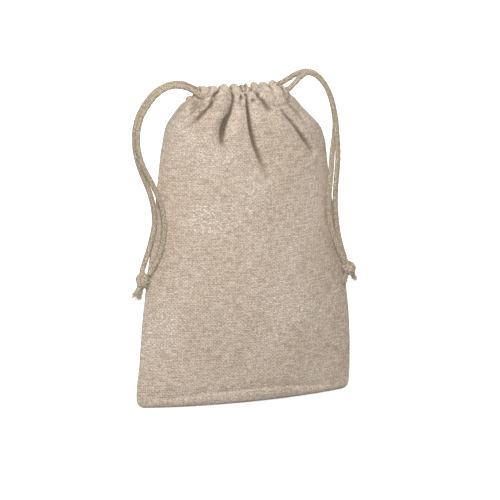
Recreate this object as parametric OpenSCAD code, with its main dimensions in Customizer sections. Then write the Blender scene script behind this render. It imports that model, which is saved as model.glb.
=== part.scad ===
// Drawstring gift sack: two cloth panels sewn together at the sides and along the bottom,
// a casing across the top of each panel, and two drawcords that close the neck.
// Each cord runs once round both casings and comes out on its own side as a knotted loop.
// Units are millimetres. +Z is up and the front faces -Y. The origin is under the middle
// of the base, on the surface that the sack stands on.

/* [Sack] */
// Width of the filled sack at its widest, just above the base
sack_w = 194; // [150:1:260]
// Height of the panels, from the base to the lower edge of the casings
panel_h = 267.5; // [200:0.5:360]
// Depth of the filled sack at its fullest
belly_d = 55; // [40:1:90]
// Thickness of the cloth
cloth_t = 1; // [0.8:0.1:1.6]
// Space left between the two panels where their edges meet
seam_gap = 0.4; // [0.2:0.1:1]

/* [Casings] */
// Length of each gathered casing, from side to side
casing_len = 66; // [50:1:90]
// Height of a casing
casing_h = 13.2; // [13:0.1:18]
// Depth of a casing, from front to back
casing_d = 13.4; // [13.2:0.1:18]
// Distance of each casing's middle from the middle of the neck
casing_y = 13.5; // [12:0.1:20]
// Space between the casings and the top edges of the panels
casing_gap = 0.3; // [0.2:0.1:0.6]

/* [Drawcords] */
// Diameter of the cord
cord_d = 5; // [4:0.1:5.1]
// Clearance between the two cords where they pass in a casing
cord_clear = 0.3; // [0.2:0.1:0.5]
// Distance from a casing's end to the point where a loop swings
exit_out = 3.5; // [3.2:0.1:5]
// How far a cord can be pulled before its far turn meets the casings
pull_travel = 5; // [3:0.5:12]
// Bend radius at the corners of a cord's far turn
turn_r = 4; // [3.5:0.1:6]

/* [Knots] */
// Diameter of the knot that ties a loop's two strands together
knot_d = 10.5; // [9:0.1:16]
// Length of the knot
knot_len = 11; // [8:0.5:18]
// Diameter of a cord's frayed end at its tip
tip_d = 5.4; // [4:0.1:8]

/* [Seams and stitches] */
// Width of the turned-in edges inside the side seams
allowance = 8; // [5:0.5:12]
// Thickness of the turned-in edges, both layers together
allowance_t = 1.6; // [1.2:0.1:2.4]
// Thickness of the sewing thread
thread_d = 0.8; // [0.5:0.1:1]
// Length of one stitch
stitch_len = 2.6; // [2:0.1:4]
// Distance from one stitch to the next
stitch_pitch = 3.8; // [3:0.1:6]

/* [Hidden] */

$fn = 48;

// Shape of a panel from the seam under the base up to the casing. Each row holds the height,
// half width and half depth as shares of the full sizes, how far the cloth's inner side lies
// above its outer side (1) rather than behind it (0), and the roundness of the section.
ROWS = [
    [0, 0.866, 0, 1, 0.85],
    [0, 0.897, 0.22, 1, 0.85],
    [0, 0.928, 0.4, 1, 0.85],
    [0.004, 0.959, 0.5, 0.75, 0.85],
    [0.015, 0.985, 0.57, 0.35, 0.84],
    [0.04, 0.995, 0.62, 0.05, 0.83],
    [0.09, 1, 0.7, 0, 0.81],
    [0.18, 0.998, 0.815, 0, 0.78],
    [0.285, 0.983, 0.91, 0, 0.75],
    [0.395, 0.948, 0.975, 0, 0.72],
    [0.52, 0.89, 1, 0, 0.7],
    [0.64, 0.834, 0.99, 0, 0.67],
    [0.755, 0.794, 0.96, 0, 0.63],
    [0.845, 0.767, 0.92, 0, 0.59],
    [0.9, 0.736, 0.88, 0, 0.57],
    [0.937, 0.69, 0.845, 0, 0.55],
    [0.963, 0.628, 0.8, 0, 0.53],
    [0.982, 0.558, 0.755, 0, 0.52],
    [0.994, 0.502, 0.72, 0, 0.51],
    [1, 0.474, 0.705, 0, 0.5]
];
// Number of strips across a panel
COLS = 26;
// First row of the panel that stands up from the base
FIRST_UP = 4;

casing_z = panel_h + casing_gap + casing_h / 2;
exit_x = casing_len / 2 + exit_out;
// Half the distance between the two cords in a casing, both up and down and front to back
lane = (cord_d + cord_clear) / 2;
slope = atan(lane / exit_x);
exit_z = casing_z + lane;
turn_x = casing_len / 2 + pull_travel + cord_d / 2 + 1.35;
// A cord's run stops short of the swinging loop, which starts with a rounded end
run_end = exit_x - cord_d / 2 - 0.3;
left_lane_y = casing_y + lane;
right_lane_y = casing_y - lane;

// Routes of the strands outside the neck, from the exit to the knot
LEFT_FRONT_ROUTE = [
    [-36.5, -16.15, 277.05], [-44, -13, 281.5], [-54, -8.5, 287], [-66, -6.5, 288.5],
    [-78, -7, 284], [-87, -8, 275.5], [-94, -9, 265], [-97.5, -10, 254], [-98.5, -11, 242.5],
    [-97, -11.5, 231], [-93, -12, 219], [-87, -12.5, 207], [-81.5, -12.5, 195],
    [-77, -12.5, 182], [-75.5, -13, 169], [-76, -13, 156], [-79, -13.5, 144],
    [-84, -14, 133], [-90, -14.5, 124]
];
LEFT_BACK_ROUTE = [
    [-36.5, 16.15, 277.05], [-44, 11, 281.5], [-54, 3, 287.5], [-66, -1, 289],
    [-78, -1.5, 284.5], [-87.5, -2.5, 276], [-94.5, -3.5, 265.5], [-98.5, -4.5, 254],
    [-99.5, -5.5, 242.5], [-98.5, -6, 231], [-95.5, -6.5, 219], [-91, -7, 207],
    [-86.5, -7.5, 195], [-83.5, -8, 182], [-82.5, -8, 168], [-85, -8, 154.5],
    [-88.5, -8, 142], [-92.5, -8.5, 131], [-95, -9, 122.5]
];
RIGHT_FRONT_ROUTE = [
    [36.5, -10.85, 277.05], [43, -9.5, 282], [49.5, -8.5, 287.3], [56, -8, 290.3],
    [63, -8, 287.6], [70, -8.5, 280.4], [75.9, -9, 268.8], [79.3, -9.5, 256],
    [81.1, -10, 243], [81.8, -10.8, 230], [82.4, -11.2, 217], [82, -11, 204],
    [81, -10.5, 191], [80.5, -10, 178], [80.8, -10, 165], [82, -9.5, 152],
    [84.2, -9.5, 139], [87.4, -9.5, 127], [90.4, -9.5, 118]
];
RIGHT_BACK_ROUTE = [
    [36.5, 10.85, 277.05], [43, 7, 281.8], [49.5, 2, 287.4], [57, -2, 290],
    [65, -2.5, 286.6], [72.3, -3, 278.4], [77.5, -3.5, 267], [80.5, -4, 255],
    [82, -4.5, 243], [81, -5.2, 230], [79, -6, 217], [77, -9.6, 205],
    [75, -12.5, 193], [73.5, -13.5, 180], [73.5, -13.5, 167], [75, -14, 154],
    [78.6, -14.5, 141], [83.6, -14.5, 128], [88, -14.5, 118]
];
// Middles of the knots, and how far each leans from upright
LEFT_KNOT = [-94, -12, 118.5];
LEFT_KNOT_LEAN = 28;
RIGHT_KNOT = [92, -12, 112.5];
RIGHT_KNOT_LEAN = -14;
// Ends of the frayed tips, two to a knot
LEFT_TIPS = [[-103, -14, 105.5], [-97.5, -10, 102.5]];
RIGHT_TIPS = [[87.5, -14, 101.5], [98, -11, 102]];

cloth_colour = [0.62, 0.53, 0.43];
casing_colour = [0.58, 0.49, 0.38];
thread_colour = [0.7, 0.64, 0.54];
cord_colour = [0.44, 0.33, 0.22];

// Depth of a section at a share u of its half width, for a given roundness
function bulge(u, q) = pow(max(0, 1 - u * u), q);

// One point of a panel's cloth. inner is 0 on its outer side and 1 on its inner side.
function panel_point(row, col, inner) =
    let (
        r = ROWS[row],
        u = sin(90 * (2 * col / COLS - 1)),
        half_w = r[1] * sack_w / 2,
        half_d = r[2] * belly_d / 2,
        edge_t = cloth_t * max(1, half_w / max(2 * half_d, 26)) * (r[4] > 0.55 ? 1.2 : 1),
        w = half_w - inner * edge_t,
        d = max(0, half_d - inner * cloth_t * (1 - r[3])),
        z = r[0] * panel_h + inner * cloth_t * r[3]
    )
    [w * u, -seam_gap / 2 - d * bulge(u, r[4]), z];

// A closed sheet: the outer grid of points, then the inner grid, joined round the edge
module panel() {
    nr = len(ROWS);
    nc = COLS + 1;
    outer = [for (r = [0 : nr - 1]) for (c = [0 : COLS]) panel_point(r, c, 0)];
    inner = [for (r = [0 : nr - 1]) for (c = [0 : COLS]) panel_point(r, c, 1)];
    n = nr * nc;
    // Cells lean outwards on both halves, so that none is flat at the corners of the base
    skin = [
        for (r = [0 : nr - 2]) for (c = [0 : COLS - 1])
            let (i = r * nc + c, j = n + i)
            each (c < COLS / 2
                ? [
                    [i, i + nc, i + nc + 1],
                    [i, i + nc + 1, i + 1],
                    [j, j + nc + 1, j + nc],
                    [j, j + 1, j + nc + 1]
                ]
                : [
                    [i, i + nc, i + 1],
                    [i + 1, i + nc, i + nc + 1],
                    [j, j + 1, j + nc],
                    [j + 1, j + nc + 1, j + nc]
                ])
    ];
    foot_and_top = [
        for (c = [0 : COLS - 1])
            let (t = (nr - 1) * nc + c)
            each [
                [c, c + 1, n + c],
                [c + 1, n + c + 1, n + c],
                [t, n + t, t + 1],
                [t + 1, n + t, n + t + 1]
            ]
    ];
    sides = [
        for (r = [0 : nr - 2])
            let (a = r * nc, b = r * nc + COLS)
            each [
                [a, n + a, a + nc],
                [a + nc, n + a, n + a + nc],
                [b, b + nc, n + b],
                [b + nc, n + b + nc, n + b]
            ]
    ];
    polyhedron(points = concat(outer, inner), faces = concat(skin, foot_and_top, sides));
}

// Shape with round corners, for the section of a casing
module round_rect(w, h, r) {
    square([w, h - 2 * r], center = true);
    square([w - 2 * r, h], center = true);
    for (x = [-1, 1]) {
        for (y = [-1, 1]) {
            translate([x * (w / 2 - r), y * (h / 2 - r)])
                circle(r = r);
        }
    }
}

// A straight tube across the neck, open at both ends for the cords
module casing() {
    translate([-casing_len / 2, -casing_y, casing_z])
        rotate([90, 0, 90])
            linear_extrude(height = casing_len)
                difference() {
                    round_rect(casing_d, casing_h, 4);
                    round_rect(casing_d - 2.2, casing_h - 2.2, 2.9);
                }
}

// A round bar between two points
module rod(p, q, r1, r2) {
    v = q - p;
    length = norm(v);
    translate(p)
        rotate([0, acos(v[2] / length), atan2(v[1], v[0])])
            cylinder(h = length, r1 = r1, r2 = r2);
}

// Point on the outside of a panel just under its casing, where the stitches lie
function stitch_point(x) =
    let (
        r = ROWS[len(ROWS) - 2],
        u = x / (r[1] * sack_w / 2),
        y = seam_gap / 2 + r[2] * belly_d / 2 * bulge(u, r[4])
    )
    [x, -y - thread_d / 2 - 0.2, r[0] * panel_h];

// The row of stitches that closes a casing
module casing_stitches() {
    count = floor(casing_len / stitch_pitch);
    for (i = [0 : count - 1]) {
        x = (i - (count - 1) / 2) * stitch_pitch;
        rod(stitch_point(x - stitch_len / 2), stitch_point(x + stitch_len / 2),
            thread_d / 2, thread_d / 2);
    }
}

// One ring of the turned-in edge at a side seam, thin next to the seam and thicker inside
function seam_ring(row) =
    let (
        r = ROWS[row],
        x = r[1] * sack_w / 2 - 5.2 * cloth_t,
        z = max(r[0] * panel_h, 3) - (row == len(ROWS) - 1 ? 1 : 0),
        t = allowance_t / 2
    )
    [
        [x, -0.25, z], [x - 3.5, -t, z], [x - allowance, -t, z],
        [x - allowance, t, z], [x - 3.5, t, z], [x, 0.25, z]
    ];

// Turned-in edges of both panels, sewn together inside the side of the sack
module side_seam() {
    first = FIRST_UP + 1;
    last = len(ROWS) - 1;
    k = 6;
    rings = last - first + 1;
    pts = [for (r = [first : last]) each seam_ring(r)];
    walls = [
        for (i = [0 : rings - 2]) for (j = [0 : k - 1])
            let (a = i * k + j, b = i * k + (j + 1) % k)
            each [[a, a + k, b], [b, a + k, b + k]]
    ];
    polyhedron(
        points = pts,
        faces = concat(
            walls,
            [[for (j = [0 : k - 1]) j]],
            [[for (j = [k - 1 : -1 : 0]) (rings - 1) * k + j]]
        )
    );
}

// Direction of a route at one of its points
function along(route, i) =
    let (
        a = route[max(0, i - 1)],
        b = route[min(len(route) - 1, i + 1)]
    )
    (b - a) / norm(b - a);

// One ring of a cord, ten-sided, at a point and square to a direction
function cord_ring(p, dir, r) =
    let (
        side = cross([0, 1, 0], dir),
        n = side / norm(side),
        b = cross(dir, n)
    )
    [for (i = [0 : 9]) p + r * (cos(36 * i) * n + sin(36 * i) * b)];

// A strand of cord along a route, with a rounded start so that it can swing there
module strand(route) {
    r = cord_d / 2;
    start = along(route, 0);
    rings = concat(
        [
            cord_ring(route[0] - start * r * 0.96, start, r * 0.26),
            cord_ring(route[0] - start * r * 0.66, start, r * 0.74)
        ],
        [for (i = [0 : len(route) - 1]) cord_ring(route[i], along(route, i), r * 0.99)]
    );
    n = len(rings);
    walls = [
        for (i = [0 : n - 2]) for (j = [0 : 9])
            let (a = i * 10 + j, b = i * 10 + (j + 1) % 10)
            each [[a, a + 10, b], [b, a + 10, b + 10]]
    ];
    polyhedron(
        points = [for (ring = rings) each ring],
        faces = concat(
            walls,
            [[for (j = [0 : 9]) j]],
            [[for (j = [9 : -1 : 0]) (n - 1) * 10 + j]]
        )
    );
}

// The part of a cord inside the casings: along the front one, round the far side of the
// neck and back along the back one. lane_y is its distance from the middle of the neck.
module cord_run(lane_y) {
    bend_x = turn_x - turn_r;
    translate([0, 0, casing_z])
        rotate([0, slope, 0]) {
            for (s = [-1, 1]) {
                translate([-run_end / cos(slope), s * lane_y, 0])
                    rotate([0, 90, 0])
                        cylinder(h = run_end / cos(slope) + bend_x, d = cord_d);
            }
            translate([bend_x, lane_y - turn_r, 0])
                rotate_extrude(angle = 90)
                    translate([turn_r, 0])
                        circle(d = cord_d);
            translate([bend_x, turn_r - lane_y, 0])
                rotate([0, 0, -90])
                    rotate_extrude(angle = 90)
                        translate([turn_r, 0])
                            circle(d = cord_d);
            translate([turn_x, turn_r - lane_y, 0])
                rotate([-90, 0, 0])
                    cylinder(h = 2 * (lane_y - turn_r), d = cord_d);
        }
}

// A knot as a barrel with round edges
module knot(middle, lean) {
    corner = 3;
    translate(middle)
        rotate([0, lean, 0])
            rotate_extrude()
                intersection() {
                    round_rect(knot_d, knot_len, corner);
                    translate([0, -knot_len])
                        square([knot_d, 2 * knot_len]);
                }
}

// The two frayed cord ends below a knot
module cord_tips(middle, tips) {
    for (tip = tips) {
        way = (tip - middle) / norm(tip - middle);
        rod(middle + way * (knot_len / 2 - 2), tip, cord_d / 2 - 0.2, tip_d / 2);
    }
}

module front_panel() {
    color(cloth_colour)
        panel();
}

module back_panel() {
    color(cloth_colour)
        rotate([0, 0, 180])
            panel();
}

module front_casing() {
    color(casing_colour)
        casing();
}

module back_casing() {
    color(casing_colour)
        rotate([0, 0, 180])
            casing();
}

module front_casing_stitches() {
    color(thread_colour)
        casing_stitches();
}

module back_casing_stitches() {
    color(thread_colour)
        rotate([0, 0, 180])
            casing_stitches();
}

module left_side_seam() {
    color(cloth_colour)
        rotate([0, 0, 180])
            side_seam();
}

module right_side_seam() {
    color(cloth_colour)
        side_seam();
}

module bottom_seam() {
    seam_len = 2 * (ROWS[0][1] * sack_w / 2 - 2 * allowance);
    color(cloth_colour)
        translate([-seam_len / 2, -allowance_t / 2, cloth_t + 0.3])
            cube([seam_len, allowance_t, allowance]);
}

module left_cord_run() {
    color(cord_colour)
        cord_run(left_lane_y);
}

module left_front_strand() {
    color(cord_colour)
        strand(LEFT_FRONT_ROUTE);
}

module left_back_strand() {
    color(cord_colour)
        strand(LEFT_BACK_ROUTE);
}

module left_knot() {
    color(cord_colour)
        knot(LEFT_KNOT, LEFT_KNOT_LEAN);
}

module left_cord_tips() {
    color(cord_colour)
        cord_tips(LEFT_KNOT, LEFT_TIPS);
}

module right_cord_run() {
    color(cord_colour)
        rotate([0, 0, 180])
            cord_run(right_lane_y);
}

module right_front_strand() {
    color(cord_colour)
        strand(RIGHT_FRONT_ROUTE);
}

module right_back_strand() {
    color(cord_colour)
        strand(RIGHT_BACK_ROUTE);
}

module right_knot() {
    color(cord_colour)
        knot(RIGHT_KNOT, RIGHT_KNOT_LEAN);
}

module right_cord_tips() {
    color(cord_colour)
        cord_tips(RIGHT_KNOT, RIGHT_TIPS);
}

front_panel();
back_panel();
front_casing();
back_casing();
front_casing_stitches();
back_casing_stitches();
left_side_seam();
right_side_seam();
bottom_seam();
left_cord_run();
left_front_strand();
left_back_strand();
left_knot();
left_cord_tips();
right_cord_run();
right_front_strand();
right_back_strand();
right_knot();
right_cord_tips();
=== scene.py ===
import math

import bpy
import numpy as np
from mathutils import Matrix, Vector


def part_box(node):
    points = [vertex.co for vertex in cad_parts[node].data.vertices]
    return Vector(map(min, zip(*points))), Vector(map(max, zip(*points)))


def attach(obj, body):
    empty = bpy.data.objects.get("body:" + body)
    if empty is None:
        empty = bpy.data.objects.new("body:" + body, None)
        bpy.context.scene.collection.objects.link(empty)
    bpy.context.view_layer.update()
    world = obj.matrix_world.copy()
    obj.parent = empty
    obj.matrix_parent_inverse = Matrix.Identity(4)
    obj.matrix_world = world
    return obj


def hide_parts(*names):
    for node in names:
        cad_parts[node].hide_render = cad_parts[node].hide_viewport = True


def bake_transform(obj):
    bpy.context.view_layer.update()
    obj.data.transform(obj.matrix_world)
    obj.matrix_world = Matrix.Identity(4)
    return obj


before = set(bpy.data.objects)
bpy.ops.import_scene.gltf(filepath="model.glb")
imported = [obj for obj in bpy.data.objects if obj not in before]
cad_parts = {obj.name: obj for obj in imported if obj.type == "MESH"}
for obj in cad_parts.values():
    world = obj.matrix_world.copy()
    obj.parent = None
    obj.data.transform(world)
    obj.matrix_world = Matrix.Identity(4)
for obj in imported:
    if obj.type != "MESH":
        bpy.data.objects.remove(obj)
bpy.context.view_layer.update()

MM = 0.001  # lengths below are in mm, and this turns them into metres
TAU = 2 * math.pi
scene = bpy.context.scene

# ---------------------------------------------------------------- sizes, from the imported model, in mm
panel_low, panel_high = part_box("front_panel")
HALF_W = (panel_high.x - panel_low.x) / 2 / MM
PANEL_H = panel_high.z / MM
HALF_D = -panel_low.y / MM
casing_low, casing_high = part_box("front_casing")
CASING_Y = (casing_low.y + casing_high.y) / 2 / MM
CASING_Z = (casing_low.z + casing_high.z) / 2 / MM
TUBE_Y = (casing_high.y - casing_low.y) / 2 / MM
TUBE_Z = (casing_high.z - casing_low.z) / 2 / MM
CORD_D = 5.0
CORD_R = CORD_D / 2
CLOTH_T = 0.7
EXIT_X, EXIT_Z = 36.5, 277.05  # where the cords leave the casings
CASING_FALL = math.tan(math.radians(4.153))  # mm that the cords drop for each mm inward

# ---------------------------------------------------------------- camera, at the photo's angle
CAMERA_AZ, CAMERA_EL = -18, 17
CAMERA_FAR, VIEW_WIDTH = 12, 0.4325  # metres to the target, and metres across the picture there
AIM_RIGHT, AIM_UP = 0.00605, 0.128  # metres from the origin to the middle of the picture
SENSOR = 36


def add_camera():
    az, el = math.radians(CAMERA_AZ), math.radians(CAMERA_EL)
    back = Vector((math.sin(az) * math.cos(el), -math.cos(az) * math.cos(el), math.sin(el)))
    right = Vector((math.cos(az), math.sin(az), 0))
    up = back.cross(right)
    target = right * AIM_RIGHT + up * AIM_UP
    cam = bpy.data.objects.new("camera", bpy.data.cameras.new("camera"))
    scene.collection.objects.link(cam)
    cam.location = target + back * CAMERA_FAR
    cam.rotation_mode = "QUATERNION"
    cam.rotation_quaternion = (-back).to_track_quat("-Z", "Y")
    cam.data.sensor_width = SENSOR
    cam.data.lens = SENSOR * CAMERA_FAR / VIEW_WIDTH
    cam.data.clip_start, cam.data.clip_end = 1, 60
    scene.camera = cam


add_camera()


# ---------------------------------------------------------------- mesh helpers
def mesh_object(name, verts, faces, material, coords):
    """A smooth mesh. coords are the two or three numbers of each vertex that the materials read."""
    me = bpy.data.meshes.new(name)
    me.from_pydata((np.asarray(verts, float) * MM).tolist(), [], [list(map(int, f)) for f in faces])
    me.update()
    ob = bpy.data.objects.new(name, me)
    scene.collection.objects.link(ob)
    me.polygons.foreach_set("use_smooth", [True] * len(me.polygons))
    me.materials.append(material)
    flat = np.zeros((len(me.vertices), 3), np.float32)
    flat[:, : np.asarray(coords).shape[1]] = coords
    me.attributes.new("flat", "FLOAT_VECTOR", "POINT").data.foreach_set("vector", flat.ravel())
    return ob


def grid_faces(rows, cols, wrap=False):
    """Quads over rows x cols vertices; wrap closes the columns."""
    r = np.arange(rows - 1)[:, None]
    c = np.arange(cols if wrap else cols - 1)[None, :]
    d = (c + 1) % cols
    corners = [r * cols + c, r * cols + d, (r + 1) * cols + d, (r + 1) * cols + c]
    return np.stack(corners, -1).reshape(-1, 4)


def catmull(points, per=12):
    """A smooth line through the points (any number of numbers each), Catmull-Rom."""
    p = np.asarray(points, float)
    p = np.vstack([2 * p[0] - p[1], p, 2 * p[-1] - p[-2]])
    t = np.linspace(0, 1, per, endpoint=False)[:, None]
    out = []
    for a, b, c, d in zip(p[:-3], p[1:-2], p[2:-1], p[3:]):
        out.append(0.5 * (2 * b + (c - a) * t + (2 * a - 5 * b + 4 * c - d) * t**2
                          + (3 * b - a - 3 * c + d) * t**3))
    return np.vstack([*out, p[-2][None]])


def along(points):
    """The distance along a line at each of its points."""
    return np.concatenate([[0], np.cumsum(np.linalg.norm(np.diff(points, axis=0), axis=1))])


def resample(points, n):
    """n points at even steps along a line."""
    s = along(points)
    at = np.linspace(0, s[-1], n)
    return np.stack([np.interp(at, s, points[:, k]) for k in range(points.shape[1])], 1)


def smoothstep(a, b, x):
    t = np.clip((np.asarray(x, float) - a) / (b - a), 0, 1)
    return t * t * (3 - 2 * t)


def tube(name, path, radius, sides, material, relief=None):
    """A closed tube round a path. radius is a number or one for each ring; relief(angle, s) adds to it."""
    n = len(path)
    s = along(path)
    t = np.gradient(path, axis=0)
    t /= np.linalg.norm(t, axis=1)[:, None]
    ref = np.array([0, 0, 1.0]) if abs(t[0][2]) < 0.9 else np.array([1.0, 0, 0])
    side = np.cross(t[0], ref)
    side /= np.linalg.norm(side)
    # the first ring's direction is carried along without twisting
    carried = [side]
    for k in range(1, n):
        side = side - t[k] * side.dot(t[k])
        side /= np.linalg.norm(side)
        carried.append(side)
    e1 = np.array(carried)
    e2 = np.cross(t, e1)
    a = np.arange(sides) / sides * TAU
    r = np.broadcast_to(np.asarray(radius, float).reshape(-1, 1), (n, 1)) + np.zeros((1, sides))
    if relief is not None:
        r = r + relief(a[None, :], s[:, None])
    v = path[:, None, :] + r[..., None] * (np.cos(a)[None, :, None] * e1[:, None, :]
                                          + np.sin(a)[None, :, None] * e2[:, None, :])
    flat = np.stack([np.broadcast_to(a / TAU, (n, sides)).ravel(),
                     np.broadcast_to(s[:, None], (n, sides)).ravel()], 1)
    verts = np.vstack([v.reshape(-1, 3), path[0], path[-1]])
    flat = np.vstack([flat, [0, 0], [0, s[-1]]])
    faces = grid_faces(n, sides, wrap=True).tolist()
    first, last = n * sides, n * sides + 1
    for k in range(sides):
        faces.append([first, (k + 1) % sides, k])
        faces.append([last, (n - 1) * sides + k, (n - 1) * sides + (k + 1) % sides])
    return mesh_object(name, verts, faces, material, flat)


def join(objects, name):
    bpy.ops.object.select_all(action="DESELECT")
    for o in objects:
        o.select_set(True)
    bpy.context.view_layer.objects.active = objects[0]
    bpy.ops.object.join()
    objects[0].name = name
    objects[0].data.name = name
    return objects[0]


def apply_modifiers(ob):
    dg = bpy.context.evaluated_depsgraph_get()
    me = bpy.data.meshes.new_from_object(ob.evaluated_get(dg))
    ob.modifiers.clear()
    ob.data = me


# ---------------------------------------------------------------- materials
# FOLD_SHADE is painted shade for the bottoms of the cloth's folds
LINEN_DARK, LINEN_LIGHT, LINEN_DRIFT = (0.440, 0.345, 0.256), (0.730, 0.605, 0.480), (0.660, 0.575, 0.490)
LINEN_GAP, LINEN_GLINT, FOLD_SHADE = (0.25, 0.19, 0.13), (0.84, 0.75, 0.69), (0.13, 0.088, 0.05)
CORD_DARK, CORD_LIGHT = (0.20, 0.145, 0.095), (0.70, 0.575, 0.43)
CORD_GAP, CORD_GLINT = (0.17, 0.12, 0.08), (0.92, 0.82, 0.70)
THREAD_DARK, THREAD_LIGHT = (0.42, 0.34, 0.25), (0.72, 0.62, 0.50)
WEAVE_PITCH = 1.7  # mm between the cloth's threads
PLAIT_PITCH, PLAIT_STRANDS = 3.4, 5  # mm along the cord, and strands round it, of the plait in its colour


class Nodes:
    """Short calls to write a material's node tree with."""

    def __init__(self, name):
        self.mat = bpy.data.materials.new(name)
        self.mat.use_nodes = True
        self.tree = self.mat.node_tree
        self.bsdf = self.tree.nodes["Principled BSDF"]

    def new(self, kind, **values):
        n = self.tree.nodes.new(kind)
        for k, v in values.items():
            setattr(n, k, v)
        return n

    def put(self, socket, value):
        if isinstance(value, bpy.types.NodeSocket):
            self.tree.links.new(value, socket)
        else:
            socket.default_value = value

    def math(self, op, *values):
        n = self.new("ShaderNodeMath", operation=op)
        for socket, v in zip(n.inputs, values):
            self.put(socket, v)
        return n.outputs[0]

    def mul(self, a, b):
        return self.math("MULTIPLY", a, b)

    def add(self, a, b):
        return self.math("ADD", a, b)

    def sine(self, a):
        return self.math("SINE", a)

    def noise(self, vector, scale=1.0, detail=2.0, rough=0.5):
        n = self.new("ShaderNodeTexNoise")
        self.put(n.inputs["Vector"], vector)
        n.inputs["Scale"].default_value = scale
        n.inputs["Detail"].default_value = detail
        n.inputs["Roughness"].default_value = rough
        return n.outputs["Fac"]

    def streaks(self, u, v, across, along, place=0.0, detail=2.0, rough=0.5):
        """Noise with a scale of its own in each direction."""
        return self.noise(self.combine(self.mul(u, across), self.mul(v, along), place), 1.0, detail, rough)

    def combine(self, x, y, z=0.0):
        n = self.new("ShaderNodeCombineXYZ")
        for k, v in enumerate((x, y, z)):
            self.put(n.inputs[k], v)
        return n.outputs[0]

    def flat(self):
        n = self.new("ShaderNodeAttribute", attribute_name="flat")
        s = self.new("ShaderNodeSeparateXYZ")
        self.put(s.inputs[0], n.outputs["Vector"])
        return s.outputs[0], s.outputs[1], s.outputs[2]

    def mix(self, fac, a, b):
        n = self.new("ShaderNodeMix", data_type="RGBA")
        self.put(n.inputs["Factor"], fac)
        for socket, v in ((n.inputs[6], a), (n.inputs[7], b)):
            self.put(socket, (*v, 1.0) if isinstance(v, tuple) else v)
        return n.outputs[2]

    def ramp(self, value, low, high):
        n = self.new("ShaderNodeMapRange", interpolation_type="SMOOTHSTEP")
        self.put(n.inputs["Value"], value)
        n.inputs["From Min"].default_value = low
        n.inputs["From Max"].default_value = high
        return n.outputs[0]

    def bump(self, height, strength, distance):
        n = self.new("ShaderNodeBump")
        self.put(n.inputs["Height"], height)
        n.inputs["Strength"].default_value = strength
        n.inputs["Distance"].default_value = distance
        self.put(self.bsdf.inputs["Normal"], n.outputs[0])


def cloth_material(name):
    """Plain linen weave with uneven threads and a few metallic ones, and painted shade in its folds. Flat
    place: mm across and up, hollow.
    """
    m = Nodes(name)
    u, v, hollow = m.flat()
    wander = m.mul(m.math("SUBTRACT", m.streaks(u, v, 0.11, 0.11), 0.5), 2.2)
    u = m.add(u, wander)
    v = m.add(v, wander)
    turn = TAU / WEAVE_PITCH
    threads = m.add(m.sine(m.mul(u, turn)), m.sine(m.mul(v, turn)))
    over = m.mul(m.sine(m.mul(u, turn / 2)), m.sine(m.mul(v, turn / 2)))
    weave = m.add(m.mul(threads, 0.25), m.mul(over, 0.5))
    # slubs: long thin stretches along each thread direction
    weft = m.streaks(u, v, 0.105, 0.66, 0.0, 1.5, 0.6)
    warp = m.streaks(u, v, 0.70, 0.13, 7.0, 1.5, 0.6)
    slub = m.add(m.mul(weft, 0.55), m.mul(warp, 0.45))
    fine = m.noise(m.combine(u, v, 3.0), 0.85, 2.0, 0.7)
    tonal = m.add(m.add(m.mul(slub, 0.66), m.mul(fine, 0.34)), m.mul(weave, 0.05))
    base = m.mix(m.ramp(tonal, 0.40, 0.60), LINEN_DARK, LINEN_LIGHT)
    broad = m.noise(m.combine(u, v, 11.0), 0.022, 3.0, 0.55)
    base = m.mix(m.mul(m.ramp(broad, 0.42, 0.66), 0.22), base, LINEN_DRIFT)
    base = m.mix(m.mul(m.ramp(weave, -0.2, -0.75), 0.30), base, LINEN_GAP)
    # thin metallic threads, laid in broken lengths, in drifts
    drift = m.ramp(m.noise(m.combine(u, v, 19.0), 0.022, 3.0), 0.28, 0.74)
    glint_u = m.ramp(m.streaks(u, v, 0.30, 0.95, 23.0, 1.0), 0.56, 0.68)
    glint_v = m.ramp(m.streaks(u, v, 0.95, 0.36, 29.0, 1.0), 0.60, 0.72)
    glint = m.mul(m.math("MAXIMUM", glint_u, glint_v), m.add(m.mul(drift, 0.8), 0.2))
    base = m.mix(m.mul(glint, 0.7), base, LINEN_GLINT)
    # painted shade: the colour goes towards FOLD_SHADE at the bottoms of the folds, as far as the hollow goes
    base = m.mix(m.mul(m.ramp(hollow, 0.0, 0.85), 0.82), base, FOLD_SHADE)
    m.put(m.bsdf.inputs["Base Color"], base)
    m.put(m.bsdf.inputs["Metallic"], m.mul(glint, 0.5))
    m.put(m.bsdf.inputs["Roughness"], m.math("SUBTRACT", 0.86, m.mul(glint, 0.36)))
    m.bsdf.inputs["Sheen Weight"].default_value = 0.15
    m.bsdf.inputs["Sheen Roughness"].default_value = 0.5
    m.bsdf.inputs["Specular IOR Level"].default_value = 0.3
    m.bump(m.add(m.mul(weave, 0.5), m.mul(slub, 1.6)), 0.8, 0.00035)
    return m.mat


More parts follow.
